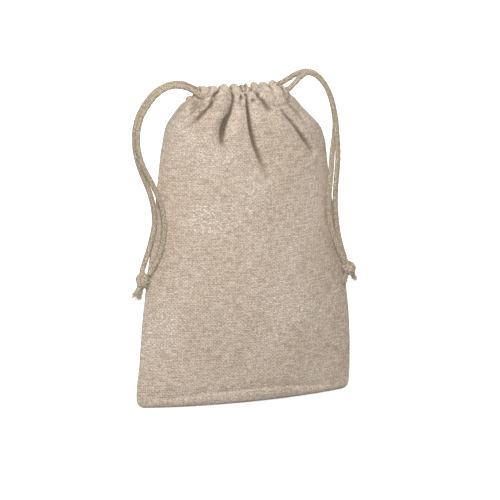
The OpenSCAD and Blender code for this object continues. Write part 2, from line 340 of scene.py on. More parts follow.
def cord_material(name):
    """Braided cord. Flat place: share of the way round, and mm along."""
    m = Nodes(name)
    u, v, _ = m.flat()
    ring = m.mul(u, TAU * PLAIT_STRANDS)
    climb = m.mul(v, TAU / PLAIT_PITCH)
    gap = m.mul(m.sine(m.add(ring, climb)), m.sine(m.math("SUBTRACT", ring, climb)))
    angle = m.mul(u, TAU)
    place = m.combine(m.mul(m.sine(angle), 2.4), m.mul(m.math("COSINE", angle), 2.4), v)
    speck = m.noise(place, 0.9, 3.0, 0.7)
    fac = m.add(m.mul(speck, 0.7), m.mul(m.streaks(u, v, 22.0, 0.35), 0.3))
    base = m.mix(m.ramp(fac, 0.36, 0.62), CORD_DARK, CORD_LIGHT)
    base = m.mix(m.mul(m.ramp(gap, -0.3, -0.85), 0.55), base, CORD_GAP)
    glint = m.ramp(m.noise(place, 1.7, 1.0), 0.60, 0.70)
    m.put(m.bsdf.inputs["Base Color"], m.mix(glint, base, CORD_GLINT))
    m.put(m.bsdf.inputs["Metallic"], m.mul(glint, 0.6))
    m.put(m.bsdf.inputs["Roughness"], m.math("SUBTRACT", 0.8, m.mul(glint, 0.38)))
    m.bsdf.inputs["Sheen Weight"].default_value = 0.1
    m.bsdf.inputs["Specular IOR Level"].default_value = 0.3
    m.bump(m.add(gap, m.mul(speck, 1.2)), 0.6, 0.0003)
    return m.mat


def thread_material(name, tone=1.0):
    """Twisted thread or a loose fibre. Flat place as for the cord."""
    m = Nodes(name)
    u, v, _ = m.flat()
    twist = m.sine(m.add(m.mul(u, TAU), m.mul(v, 9.0)))
    fac = m.add(m.mul(twist, 0.25), m.noise(m.combine(u, v), 3.0, 2.0))
    dark, light = (tuple(c * tone for c in colour) for colour in (THREAD_DARK, THREAD_LIGHT))
    m.put(m.bsdf.inputs["Base Color"], m.mix(m.ramp(fac, 0.2, 0.8), dark, light))
    m.bsdf.inputs["Roughness"].default_value = 0.62
    m.bump(twist, 0.5, 0.0001)
    return m.mat


CLOTH = cloth_material("linen_cloth")
CORD = cord_material("braided_cord")
THREAD = thread_material("sewing_thread")
FIBRE = thread_material("cord_fibre", 0.95)

# ---------------------------------------------------------------- cords, first
# Each strand's line outside the casings, through the same points as in part.scad
ROUTES = {
    "left_front": [
        [-36.5, -16.15, 277.05], [-44, -13, 281.5], [-54, -8.5, 287], [-66, -6.5, 288.5],
        [-78, -7, 284], [-87, -8, 275.5], [-94, -9, 265], [-97.5, -10, 254], [-98.5, -11, 242.5],
        [-97, -11.5, 231], [-93, -12, 219], [-87, -12.5, 207], [-81.5, -12.5, 195],
        [-77, -12.5, 182], [-75.5, -13, 169], [-76, -13, 156], [-79, -13.5, 144],
        [-84, -14, 133], [-90, -14.5, 124]],
    "left_back": [
        [-36.5, 16.15, 277.05], [-44, 11, 281.5], [-54, 3, 287.5], [-66, -1, 289],
        [-78, -1.5, 284.5], [-87.5, -2.5, 276], [-94.5, -3.5, 265.5], [-98.5, -4.5, 254],
        [-99.5, -5.5, 242.5], [-98.5, -6, 231], [-95.5, -6.5, 219], [-91, -7, 207],
        [-86.5, -7.5, 195], [-83.5, -8, 182], [-82.5, -8, 168], [-85, -8, 154.5],
        [-88.5, -8, 142], [-92.5, -8.5, 131], [-95, -9, 122.5]],
    "right_front": [
        [36.5, -10.85, 277.05], [43, -9.5, 282], [49.5, -8.5, 287.3], [56, -8, 290.3],
        [63, -8, 287.6], [70, -8.5, 280.4], [75.9, -9, 268.8], [79.3, -9.5, 256],
        [81.1, -10, 243], [81.8, -10.8, 230], [82.4, -11.2, 217], [82, -11, 204],
        [81, -10.5, 191], [80.5, -10, 178], [80.8, -10, 165], [82, -9.5, 152],
        [84.2, -9.5, 139], [87.4, -9.5, 127], [90.4, -9.5, 118]],
    "right_back": [
        [36.5, 10.85, 277.05], [43, 7, 281.8], [49.5, 2, 287.4], [57, -2, 290],
        [65, -2.5, 286.6], [72.3, -3, 278.4], [77.5, -3.5, 267], [80.5, -4, 255],
        [82, -4.5, 243], [81, -5.2, 230], [79, -6, 217], [77, -9.6, 205],
        [75, -12.5, 193], [73.5, -13.5, 180], [73.5, -13.5, 167], [75, -14, 154],
        [78.6, -14.5, 141], [83.6, -14.5, 128], [88, -14.5, 118]],
}

LEAD = 2.4  # mm of each strand that start inside the casing
STRAND_STEP, RUN_STEP = 0.9, 1.1  # mm between a cord's rings, outside the casings and in them


def braid(angle, s, depth=0.32, strands=5, lay=6.8):
    """Relief of a round braid: two families of strands that go over and under each other."""
    a = np.cos(strands * angle + TAU * s / lay)
    b = np.cos(strands * angle - TAU * s / lay)
    over = 0.5 + 0.5 * np.sin(strands * angle) * np.sin(TAU * s / lay)
    return depth * (np.maximum(a * (0.55 + 0.45 * over), b * (1.0 - 0.45 * over)) - 0.55)


def knot_braid(angle, s):
    return braid(angle, s, depth=0.2, lay=6.0)


def end_braid(angle, s):
    return braid(angle, s, depth=0.2, lay=5.0)


def cord_line(route):
    """The strand's line: a short straight lead inside the casing, then the route."""
    p = np.asarray(route, float)
    inward = -1 if p[0][0] > 0 else 1
    start = p[0] + np.array([inward * LEAD, 0, -LEAD * CASING_FALL])
    line = catmull(np.vstack([start, p[0] + (start - p[0]) * 0.4, p]), 14)
    return resample(line, int(along(line)[-1] / STRAND_STEP))


strands = {}
for key, route in ROUTES.items():
    line = cord_line(route)
    s = along(line)
    # the knot draws the last few mm of the cord in
    radius = CORD_R - 0.12 - 0.35 * smoothstep(s[-1] - 7, s[-1], s)
    strands[key] = (tube(f"{key}_cord", line, radius, 30, CORD, relief=braid), line)


# ---------------------------------------------------------------- knots and frayed ends
WRAP_SIDES, WRAP_RINGS = 20, 110


def frame_axes(axis):
    """The axis and two directions square to it."""
    a = Vector(axis).normalized()
    b = a.orthogonal().normalized()
    return np.array(a), np.array(b), np.array(a.cross(b))


def knot(name, centre, axis, size, seed, spin):
    """An overhand knot in the doubled cord: two full wraps with a part that crosses over them."""
    rng = np.random.default_rng(seed)
    a, b, c = frame_axes(axis)
    cs, sn = math.cos(spin), math.sin(spin)
    b, c = b * cs + c * sn, c * cs - b * sn

    def point(height, rad, th):
        return centre + a * height + b * rad * math.cos(th) + c * rad * math.sin(th)

    parts = []
    thick = size * 0.235
    for k in range(2):
        lift = (k - 0.5) * size * 0.30
        pts = []
        for i in range(15):
            th = i / 14 * TAU * 1.28 + k * 2.2
            rad = size * (0.285 + 0.03 * math.sin(2 * th + k) + 0.02 * rng.standard_normal())
            if i in (0, 14):
                rad *= 0.45
            height = lift + size * 0.15 * math.sin(th + k * 1.9) + (i / 14 - 0.5) * size * 0.30
            pts.append(point(height, rad, th))
        parts.append(tube(f"{name}_w{k}", resample(catmull(pts, 8), WRAP_RINGS), thick * (0.94 + 0.06 * k),
                          WRAP_SIDES, CORD, relief=knot_braid))
    # the part that crosses the wraps on the outside
    pts = []
    for i in range(9):
        f = i / 8
        rad = size * (0.13 + 0.30 * math.sin(math.pi * f))
        pts.append(point((0.5 - f) * size * 1.02, rad, 0.7 + 2.1 * f))
    line = resample(catmull(pts, 8), 90)
    parts.append(tube(f"{name}_x", line, thick * 0.86, WRAP_SIDES, CORD, relief=knot_braid))
    # the cords that go in at the top and out below
    line = resample(catmull([centre + a * size * 0.52, centre, centre - a * size * 0.5], 8), 24)
    parts.append(tube(f"{name}_core", line, size * 0.27, WRAP_SIDES, CORD, relief=knot_braid))
    return join(parts, name)


def frayed_end(name, top, low, seed, width=2.5, hairs=46):
    """A cord end that comes apart into fibres, from top to low."""
    rng = np.random.default_rng(seed)
    axis = low - top
    length = np.linalg.norm(axis)
    axis = axis / length
    _, b, c = frame_axes(axis)
    stub = resample(catmull([top, top + axis * length * 0.3, top + axis * length * 0.62], 8), 26)
    rad = width * (0.92 - 0.25 * np.linspace(0, 1, 26) ** 2)
    parts = [tube(name + "_stub", stub, rad, 20, CORD, relief=end_braid)]
    for k in range(hairs):
        th = rng.uniform(0, TAU)
        r0 = width * 0.8 * math.sqrt(rng.uniform(0.02, 1))
        reach = length * rng.uniform(0.55, 1.0)
        flare = r0 * rng.uniform(1.0, 1.7)
        th2 = th + rng.normal(0, 0.7)
        wig = rng.normal(0, 0.45, 2)
        bx, cx = r0 * math.cos(th), r0 * math.sin(th)
        p0 = top + axis * length * 0.34 + b * bx + c * cx
        p1 = top + axis * length * 0.66 + b * (bx * 1.15) + c * (cx * 1.15)
        p2 = (top + axis * (length * 0.5 + reach * 0.42) + b * (flare * math.cos(th2) + wig[0])
              + c * (flare * math.sin(th2) + wig[1]))
        p3 = (top + axis * (length * 0.42 + reach * 0.66) + b * (flare * 1.12 * math.cos(th2 + 0.3) + wig[1])
              + c * (flare * 1.12 * math.sin(th2 + 0.3) - wig[0]))
        line = resample(catmull([p0, p1, p2, p3], 5), 12)
        r = rng.uniform(0.16, 0.30) * (1 - 0.55 * np.linspace(0, 1, 12) ** 2)
        parts.append(tube(f"{name}_f{k}", line, r, 5, FIBRE))
    return join(parts, name)


def middle(node):
    lo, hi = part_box(node)
    return np.array((lo + hi) / 2) / MM


KNOT_SIZE = 11.2
LEFT_KNOT, RIGHT_KNOT = middle("left_knot"), middle("right_knot")
LEFT_TIPS = [[-103, -14, 105.5], [-97.5, -10, 102.5]]
RIGHT_TIPS = [[87.5, -14, 101.5], [98, -11, 102]]
knots = {
    "left": knot("left_cord_knot", LEFT_KNOT, (0.47, 0, 0.88), KNOT_SIZE, 5, 0.6),
    "right": knot("right_cord_knot", RIGHT_KNOT, (-0.24, 0, 0.97), KNOT_SIZE, 8, 2.2),
}
ends = {"left": [], "right": []}
for side, centre, tips in (("left", LEFT_KNOT, LEFT_TIPS), ("right", RIGHT_KNOT, RIGHT_TIPS)):
    for k, tip in enumerate(tips):
        tip = np.array(tip, float)
        way = (tip - centre) / np.linalg.norm(tip - centre)
        ends[side].append(frayed_end(f"{side}_cord_end_{k + 1}", centre + way * 3.2, tip + way * 1.6, 20 + k))

for side, sign in (("left", -1), ("right", 1)):
    for which in ("front", "back"):
        ob, line = strands[f"{side}_{which}"]
        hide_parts(f"{side}_{which}_strand")
        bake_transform(ob)
    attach(knots[side], f"{side}_loop")
    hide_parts(f"{side}_knot")
    for e in ends[side]:
        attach(e, f"{side}_loop")
    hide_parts(f"{side}_cord_tips")


# ---------------------------------------------------------------- the cloth
def field(x, y, seed):
    """Smooth unevenness from about -1 to 1 over a plane, the same each run."""
    table = np.random.default_rng(seed).uniform(-1, 1, (64, 64))
    i, j = np.floor(x).astype(int), np.floor(y).astype(int)
    fx, fy = x - i, y - j
    fx, fy = fx * fx * (3 - 2 * fx), fy * fy * (3 - 2 * fy)

    def across(b):
        return table[i % 64, (j + b) % 64] * (1 - fx) + table[(i + 1) % 64, (j + b) % 64] * fx

    return across(0) * (1 - fy) + across(1) * fy


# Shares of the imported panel's size, from the foot seam up: height, half width, half depth, roundness
SHAPE = [
    [0, .866, 0, .85], [0, .897, .22, .85], [0, .928, .4, .85], [.004, .959, .5, .85], [.015, .985, .57, .84],
    [.04, .995, .62, .83], [.09, 1, .7, .81], [.18, .998, .815, .78], [.285, .983, .91, .75],
    [.395, .948, .975, .72], [.52, .89, 1, .7], [.64, .834, .99, .67], [.755, .794, .96, .63],
    [.845, .767, .92, .59], [.9, .736, .88, .57], [.937, .69, .845, .55], [.963, .628, .8, .53],
    [.982, .558, .755, .52], [.994, .502, .72, .51], [1, .474, .705, .5]]
ROWS_N, LOOP_N, COLS_N = 290, 76, 300  # rows up the panel, rows round the casing, columns
FOOT_GAP = 0.2  # half the gap between the two cloths at the foot
SEAM_OPEN = (266.0, 279.0)  # heights between which the side seam ends and the neck opens
STITCH_V, SEWN_V = 267.0, 268.0  # heights of the casing's stitches, and of the layer that its edge is on
CLOSE_IN = 12.0  # mm at the shoulders over which the two cloths round in to the seam
# The neck isn't gathered alike on both sides: half width in mm at a height, left and right
LEFT_EDGE = [[232, 73.2], [243, 71.3], [249, 70], [253.5, 68.4], [257, 65.8], [260.6, 62.6], [264.4, 58.6],
             [267.5, 55.2]]
RIGHT_EDGE = [[225, 74.6], [237, 71.0], [244, 66.6], [250, 61.0], [256.3, 55.2], [262, 50.0], [267.5, 45.4]]
LEFT_HEM, RIGHT_HEM = 41.0, 38.6  # half widths of the casing's top edge
# The left side seam runs straighter than the right one: share of the panel's half width at a height
LEFT_SHARE = [[0, 1], [10, 1], [22, .988], [38, .966], [57, .957], [98, .953], [150, .976], [195, 1]]
# The casing's section from the panel up the outside, over the top and down inside: outward and up, in mm
CASING_RING = [(5.9, -4.6), (6.3, -1), (6.0, 2.4), (4.9, 5.0), (2.4, 6.5), (-1.2, 6.7), (-4.4, 5.4),
               (-6.0, 2.6), (-6.3, -1), (-5.6, -4.2), (-2.6, -6.2)]
RING_Y, RING_Z, RING_FACE = 6.7, 6.6, 5.9  # the half sizes it is drawn at, and its outer face


def half_width(z, wide, left):
    """Half width in mm of one side at a height, from the panel's own half width there."""
    edge = catmull(LEFT_EDGE if left else RIGHT_EDGE, 8)
    if left:
        share = np.array(LEFT_SHARE)
        wide = wide * np.interp(z, share[:, 0], share[:, 1])
    return np.where(z < edge[0, 0], wide, np.interp(z, edge[:, 0], edge[:, 1]))


def rounded_in(x, end, width):
    """From 0 at the end of a row to 1 inside it, as a quarter round."""
    f = np.clip((end - np.abs(x)) / width, 0, 1)
    return np.sqrt(np.clip(1 - (1 - f) ** 2, 0, 1))


def average(a, rows, cols):
    """Mean over a window, for finding hollows."""
    for axis, n in ((0, rows), (1, cols)):
        pad = [(n, n) if k == axis else (0, 0) for k in range(2)]
        c = np.cumsum(np.insert(np.pad(a, pad, mode="edge"), 0, 0, axis=axis), axis=axis)
        first = np.arange(a.shape[axis])
        width = 2 * n + 1
        a = (np.take(c, first + width, axis=axis) - np.take(c, first, axis=axis)) / width
    return a


def row_at(fold_v, height):
    """The row of the cloth that is nearest to a height in its middle."""
    return int(np.argmin(np.abs(fold_v[:, fold_v.shape[1] // 2] - height)))


def row_ends(x):
    """Half width of the row on each vertex's own side."""
    return np.where(x < 0, -x[:, :1], x[:, -1:])


def poly_distance(px, pv, line):
    """For each point: distance to the line, side of it (+ is right going down), the line's other numbers."""
    pts = catmull(line, 8)
    best = np.full(px.shape, 1e9)
    side = np.zeros(px.shape)
    info = np.zeros(px.shape + (pts.shape[1] - 2,))
    for a, b in zip(pts[:-1], pts[1:]):
        d = b[:2] - a[:2]
        ll = max(d.dot(d), 1e-9)
        t = np.clip(((px - a[0]) * d[0] + (pv - a[1]) * d[1]) / ll, 0, 1)
        qx, qv = px - a[0] - t * d[0], pv - a[1] - t * d[1]
        dist = np.hypot(qx, qv)
        near = dist < best
        best = np.where(near, dist, best)
        side = np.where(near, np.sign(qv * d[0] - qx * d[1]), side)
        info = np.where(near[..., None], a[2:] + t[..., None] * (b[2:] - a[2:]), info)
    return best, side, info


def valleys_and_ridges(x, v, valleys, ridges):
    """Height in mm of the long folds over the cloth."""
    h = np.zeros(x.shape)
    for line in ridges:
        d, _, k = poly_distance(x, v, line)
        h += k[..., 0] * np.exp(-(d / np.maximum(k[..., 1], 0.3)) ** 2)
    for line in valleys:
        d, side, k = poly_distance(x, v, line)
        w = np.where(side > 0, k[..., 2], k[..., 1])
        h -= k[..., 0] * np.exp(-np.power(d / np.maximum(w, 0.35), 1.35))
    return h


# Folds. A valley's points: x, height, depth, width left, width right. A ridge's: x, height, rise, width
FRONT_VALLEYS = [
    [[-14.7, 304, 2.6, 1.4, 1], [-14.7, 280, 3.6, 1.3, .8], [-16, 271, 3.8, 1.3, .8],
     [-18, 264, 5.0, 1.8, .7], [-20.8, 259, 7.6, 3.6, .7], [-24, 251, 8.2, 4.4, .9],
     [-26, 242, 4.8, 4.6, 1.8], [-25.8, 232, 1.7, 6, 4.5], [-24.5, 220, 0, 6, 6]],
    [[-2.7, 304, 2.4, 1.2, .9], [-2.7, 279, 3.6, 1, .9], [-2.2, 262, 5.2, .8, 1.6], [-1.4, 249, 5.6, .8, 3.0],
     [1.6, 236, 5.0, 1.1, 4.0], [7, 222, 3.9, 1.8, 4.6], [12.4, 210, 2.2, 2.6, 5], [16.5, 200, 0, 5, 6]],
    [[7.5, 304, 1.5, 1.2, 1], [7.5, 279, 2.6, 1.5, .9], [12, 271.5, 3.0, 2, .9], [17.5, 265, 2.8, 3, 1],
     [20.5, 261, 0, 3.5, 2]],
    [[27.0, 266, .8, 1.3, .8], [31.5, 258.5, 3.0, 1.4, .7], [40.0, 248.5, 3.8, 1.6, .7],
     [48.2, 237.5, 4.4, 2.2, .8], [56, 226.5, 3.4, 2.8, 1.0], [60.5, 217, 0, 3, 2]],
    [[27, 300, 1.0, 2, 1.2], [29.6, 280, 2.4, 2, 1.2], [37.5, 266, 3.0, 2.4, 1.2], [46, 256, 2.4, 2.8, 1.4],
     [54, 246, 0, 3, 2]],
    [[-25, 304, 2.6, 1.4, .9], [-25, 286, 3.8, 1.4, .8], [-28, 280, 4.0, 1.5, .8], [-31, 277, 4.2, 1.8, .9],
     [-36, 270, 4.6, 2.6, 1], [-40.5, 266, 4.8, 3.4, 1.1], [-46, 260, 4.4, 4.2, 1.3], [-53, 253.5, 1.8, 5, 2],
     [-58, 249, 0, 5, 3]],
    [[-41, 300, 1.6, 1.3, 1], [-41, 280, 2.4, 1.4, 1], [-44, 273, 2.6, 1.5, 1.1], [-51, 266, 2.6, 1.8, 1.2],
     [-58, 261, 1.8, 2, 1.3], [-64, 255, 0, 2, 2]],
    [[20, 304, 1.4, 1, 1], [20, 281, 1.5, 1, .9], [22, 275, .8, 1, .9], [24, 271, 0, 1, 1]],
    [[-8.5, 304, 1.5, .8, .8], [-8.3, 284, 1.6, .8, .8], [-8, 279, .5, .8, .8], [-8, 277.5, 0, 1, 1]],
    [[2.2, 304, 1.5, .8, .8], [2.3, 282, 1.4, .8, .8], [2.4, 277, .4, .8, .8], [2.4, 276, 0, 1, 1]],
]
FRONT_RIDGES = [
    [[-20, 300, 1.4, 5], [-20, 284, 2.2, 5], [-26, 268, 2.6, 6.5], [-35, 250, 2.4, 8], [-43, 232, 1.0, 10],
     [-47, 215, 0, 12]],
    [[-9, 300, 1.2, 4], [-9, 283, 1.6, 4], [-10, 265, 2.2, 5], [-13, 247, 2.4, 7], [-11, 230, 1.2, 9],
     [-8, 212, 0, 12]],
    [[3, 300, .8, 3], [3, 280, 1.2, 3], [7, 262, 1.7, 5], [13, 245, 1.5, 8], [20, 226, 0, 12]],
    [[14, 300, 1, 4], [14, 283, 1.4, 4], [22, 267, 2.0, 5], [31, 250, 1.7, 8], [40, 232, 0, 12]],
    [[25, 281, 1.0, 3.5], [36, 264, 1.6, 4.5], [47, 248, 1.8, 5], [55, 236, .9, 6], [60, 222, 0, 8]],
    [[37, 280, .8, 3], [47, 262, 1.6, 3.5], [57, 249, 1.4, 4], [64, 236, 0, 6]],
    [[-33, 284, 1.2, 2.6], [-40, 271, 2.2, 3.2], [-49, 261, 2.2, 4.5], [-57, 251, 1.2, 6], [-63, 240, 0, 8]],
    [[-43, 280, .8, 2.2], [-52, 269, 1.6, 2.6], [-61, 258, 1.2, 3], [-67, 246, 0, 4]],
]
BACK_VALLEYS = [
    [[-7.9, 304, 3.2, 1.1, 1], [-7.9, 284, 3.4, 1.2, 1], [-8, 272, 3.2, 1.5, 1], [-10, 258, 3.6, 2.5, 1.6],
     [-14, 242, 2.2, 4, 3], [-16, 226, 0, 5, 5]],
    [[1.9, 304, 3.0, .9, .9], [1.9, 284, 3.2, .9, .9], [1.5, 272, 2.4, 1, .9], [0, 262, 0, 1.5, 1.5]],
    [[4.6, 304, 2.6, .9, .9], [4.6, 284, 2.6, .9, .9], [5.4, 272, 3.4, 1.2, 1], [8, 258, 4.2, 3, 1.2],
     [10, 244, 3.0, 4.5, 2], [10, 226, 0, 6, 5]],
    [[10.4, 304, 3.0, 1.1, 1], [10.4, 284, 2.6, 1.1, 1], [13, 270, 3.0, 1.5, 1], [19, 258, 3.4, 3, 1.2],
     [26, 244, 1.6, 4, 2.4], [31, 234, 0, 5, 4]],
    [[18.5, 304, 2.8, 1.1, 1], [18.5, 282, 2.8, 1.1, 1], [22, 272, 2.2, 1.4, 1], [26, 266, 0, 2, 2]],
    [[27, 304, 2.6, 1.2, 1], [27, 282, 3.0, 1.4, 1], [33, 270, 4.0, 2.4, 1.1], [41, 260, 4.0, 3.6, 1.3],
     [50, 250, 1.6, 5, 2], [55, 243, 0, 5, 3]],
    [[-17, 304, 2.8, 1.1, 1], [-17, 282, 2.8, 1.1, 1], [-20, 270, 3.2, 1.4, 1], [-27, 256, 4.0, 2.6, 1.4],
     [-33, 242, 2.4, 4, 3], [-37, 226, 0, 6, 5]],
    [[-26, 304, 2.6, 1.1, 1], [-26, 282, 2.8, 1.1, 1], [-32, 271, 2.8, 1.4, 1], [-42, 260, 2.8, 2.6, 1.2],
     [-52, 249, 1.4, 3, 2], [-58, 241, 0, 4, 3]],
    [[-36, 300, 1.5, 1, 1], [-37, 280, 2.0, 1.2, 1], [-45, 268, 2.4, 1.5, 1.1], [-54, 259, 1.8, 2, 1.3],
     [-61, 251, 0, 2, 2]],
    [[36, 300, 1.5, 1, 1], [37, 280, 2.0, 1.2, 1], [46, 268, 2.2, 1.5, 1.1], [56, 258, 1.8, 2, 1.3],
     [63, 248, 0, 2, 2]],
]
BACK_RIDGES = [
    [[-12, 300, 1.2, 3.5], [-12, 282, 1.6, 3.5], [-17, 262, 2.2, 6], [-24, 243, 1.8, 9], [-28, 222, 0, 12]],
    [[-2.5, 300, 1.4, 3.5], [-2.5, 282, 1.8, 3.5], [-3, 262, 2.4, 6], [-2, 244, 2.0, 9], [-1, 222, 0, 12]],
    [[14.5, 300, 1.0, 3], [15, 282, 1.6, 3], [24, 262, 2.2, 5], [34, 246, 1.8, 8], [42, 228, 0, 12]],
    [[-22, 300, 1.0, 3], [-23, 282, 1.6, 3], [-35, 262, 2.2, 5], [-46, 246, 1.8, 8], [-52, 228, 0, 12]],
    [[31, 282, 1.2, 3], [42, 266, 1.8, 4], [53, 252, 1.6, 6], [60, 238, 0, 9]],
]
# The top edge's rise above the casing, at an x
FRONT_TOP = [[-46, 0], [-39, 1.5], [-33.6, 3.6], [-28.5, 3.4], [-24, 4.6], [-19.5, 2.2], [-17, .4],
             [-14.4, -.6], [-11, 1.4], [-6.5, .8], [-3.2, -1.2], [0, -.8], [3, -1.0], [7.2, -1.6], [11, 1.2],
             [15.5, 2.6], [20, 1.8], [25, 2.2], [31, 1.8], [36, 1.2], [46, 0]]
BACK_TOP = [[-46, -1], [-38, -.4], [-31, .2], [-26, -.6], [-21.5, .3], [-17, -.6], [-11, 2.0], [-7.9, -1.0],
            [-3, 1.5], [1.9, -.8], [3.2, .4], [4.6, -1], [7.5, 1.2], [10.4, -.8], [14.5, .9], [18.5, -.5],
            [23, 0], [27, -.6], [32, -.7], [38, -.7], [46, -1]]
# Small pits between the gathers: x, height, depth, half width, half height
FRONT_PITS = [(-7.6, 275.6, 4.6, 1.6, 2.7), (2.9, 273.4, 4.0, 1.35, 2.5)]
BACK_PITS = [(-13, 272, 1.6, 1, 2), (7.5, 273, 1.8, 1, 2.2), (22, 274, 1.6, 1, 2)]


def panel_surface():
    """The smooth panel: x, distance outward and height, then the cloth's place across and up it."""
    table = catmull(SHAPE, 12)
    z = np.clip(table[:, 0], 0, 1) * PANEL_H
    hw, q = table[:, 1] * HALF_W, table[:, 3]
    hd = FOOT_GAP + np.clip(table[:, 2], 0, 1) * (HALF_D - FOOT_GAP)
    step = np.hypot(np.diff(z), np.diff(hd)) + 0.02 * np.abs(np.diff(hw))
    s = np.concatenate([[0], np.cumsum(step)])
    at = np.linspace(0, s[-1], ROWS_N)
    z, hw, hd, q = (np.interp(at, s, k) for k in (z, hw, hd, q))
    w = np.sin(np.linspace(-1, 1, 241) * math.pi / 2)
    reach = [half_width(z, hw, left) / hw for left in (True, False)]
    q = q * (1 - 0.70 * smoothstep(250, 268, z))
    X, O, U = (np.zeros((ROWS_N, COLS_N)) for _ in range(3))
    for k in range(ROWS_N):
        x = hw[k] * w * np.where(w < 0, reach[0][k], reach[1][k])
        o = FOOT_GAP + (hd[k] - FOOT_GAP) * np.power(np.maximum(1 - w**2, 0), q[k])
        line = resample(np.stack([x, o], 1), COLS_N)
        X[k], O[k] = line[:, 0], line[:, 1]
        length = along(line)
        U[k] = length - length[-1] / 2
    Z = np.broadcast_to(z[:, None], X.shape)
    # above the side seam's end the neck stands open
    open_by = 9.0 * smoothstep(*SEAM_OPEN, Z)
    O = np.power(O**4 + open_by**4, 0.25)
    # at the shoulders both sides come together again at the seam
    shut = smoothstep(246, 262, Z)
    O = 0.6 + (O - 0.6) * (1 - shut * (1 - rounded_in(X, row_ends(X), CLOSE_IN)))
    return X, O, Z, U, at


def casing_surface(x, o, outward):
    """The cloth on from the panel's top row, round the casing: x, distance outward, height, mm along it."""
    o = o + CASING_Y
    narrow = np.where(x < 0, LEFT_HEM / abs(x[0]), RIGHT_HEM / abs(x[-1]))
    end = x * narrow
    # past the ends of the casing only a narrow hem goes on, lower, down to the side seam
    hem = np.where(end < 0, smoothstep(33.5, 38.5, -end), smoothstep(32.5, 36.5, end))
    size = 1 - 0.74 * hem
    face = np.minimum(o * (1 - 0.25 * hem) + 0.4, RING_FACE)
    top_z = (-1.6 if outward < 0 else -3.2) + 2.6 * (end / 33.0) ** 2 * (hem < 0.5)
    loop = [np.stack([x, o, np.full(COLS_N, PANEL_H)], 1)]
    for k, (out, up) in enumerate(CASING_RING):
        # the hem draws in to its width sooner than the casing
        early = np.where(end < 0, min(0.62 + 0.14 * k, 1), min(0.85 + 0.1 * k, 1))
        f = 1 + (narrow - 1) * (smoothstep(-0.5, 3, k) * (1 - hem) + early * hem)
        ring_o = face * hem + RING_FACE * (1 - hem) + (out - RING_FACE) * (TUBE_Y / RING_Y) * size
        ring_z = up * (TUBE_Z / RING_Z) * size + hem * np.where(end < 0, 0.6, -0.4)
        ring_z = ring_z + np.clip(top_z, -4, 0) * smoothstep(-2, 5, up) * (1 - hem)
        loop.append(np.stack([x * f, ring_o, CASING_Z + ring_z], 1))
    # the turned-in edge, clear of the folds outside it
    for inside, below in ((5.0, 7.4), (6.0, 10.4)):
        low = np.full(COLS_N, CASING_Z - below * (TUBE_Z / RING_Z))
        loop.append(np.stack([end, o - inside, low], 1))
    fine = catmull(np.array(loop).reshape(len(loop), -1), 16).reshape(-1, COLS_N, 3)
    s = along(fine[:, COLS_N // 2, 1:])
    at = np.linspace(0, s[-1], LOOP_N + 1)[1:]
    pick = np.interp(at, s, np.arange(len(s)))
    lo = np.floor(pick).astype(int).clip(0, len(fine) - 2)
    f = (pick - lo)[:, None, None]
    fine = fine[lo] * (1 - f) + fine[lo + 1] * f
    X, O, Z = fine[..., 0], fine[..., 1] - CASING_Y, fine[..., 2]
    O = 0.6 + (O - 0.6) * rounded_in(X, row_ends(X), CLOSE_IN * 0.55)
    return X, O, Z, at


def normals(X, O, Z):
    """Unit normals of the surface, outward."""
    du = np.stack([np.gradient(k, axis=1) for k in (X, O, Z)], -1)
    dv = np.stack([np.gradient(k, axis=0) for k in (X, O, Z)], -1)
    nrm = np.cross(dv, du)
    nrm /= np.maximum(np.linalg.norm(nrm, axis=-1, keepdims=True), 1e-9)
    return -nrm if nrm[ROWS_N // 2, COLS_N // 2, 1] < 0 else nrm


def relief_height(X, Z, fold_v, outward, valleys, ridges, pits, seed):
    """How far the cloth stands off its smooth surface, in mm."""
    h = valleys_and_ridges(X, np.minimum(fold_v, 304), valleys, ridges)
    # inside the sack the turned-in layer follows the folds of the layer it is sewn to
    inner = smoothstep(286, 297, fold_v)
    sewn = h[row_at(fold_v, SEWN_V)]
    h = h * (1 - inner) - np.minimum(sewn, 0)[None, :] * inner
    # the ridges fade towards the top edge
    h = np.where(h > 0, h * (1 - (0.65 if outward < 0 else 0.9) * smoothstep(274, 281, fold_v)), h)
    for px, pz, depth, wx, wz in pits:
        dz = (fold_v - pz) / np.where(fold_v > pz, wz * 1.5, wz)
        h -= depth * np.exp(-((X - px) / (wx * np.clip(1.1 - 0.22 * (fold_v - pz), 0.45, 1.2))) ** 2 - dz**2)
    # crease where the foot turns under
    line = 12.6 - 4.6 * smoothstep(30, 78, np.abs(X + 6)) + 0.6 * np.sin(X / 23.0 + seed)
    gap = fold_v - line
    on = (fold_v < 40) * (1 - smoothstep(62, 90, np.abs(X)))
    h -= 0.95 * on * np.exp(-np.power(np.abs(gap) / np.where(gap > 0, 4.6, 1.9), 1.5))
    h += 0.15 * on * np.exp(-((gap + 6) / 4.0) ** 2) * (Z > 2)
    # slow unevenness of stiff linen, a little finer creasing, and the pull of the side seam's stitches
    n = (0.75 * field(X / 34 + 9, fold_v / 52, seed) + 0.30 * field(X / 13 + 20, fold_v / 24, seed + 9)
         + 0.10 * field(X / 4.5 + 40, fold_v / 7, seed + 20))
    h += n * (smoothstep(0, 25, Z) * 0.8 + 0.2)
    edge = np.where(X < 0, X - X[:, :1], X[:, -1:] - X)
    pucker = np.exp(-edge / 3.5) * (fold_v < 262)
    h -= pucker * (0.22 + 0.22 * np.sin(fold_v / 3.1 + seed) * np.sin(fold_v / 7.7))
    h *= smoothstep(0, 1.2, edge) * 0.9 + 0.1
    # the foot stays flat
    return np.where(Z < 1.0, 0.0, h) * smoothstep(0.5, 9, Z)


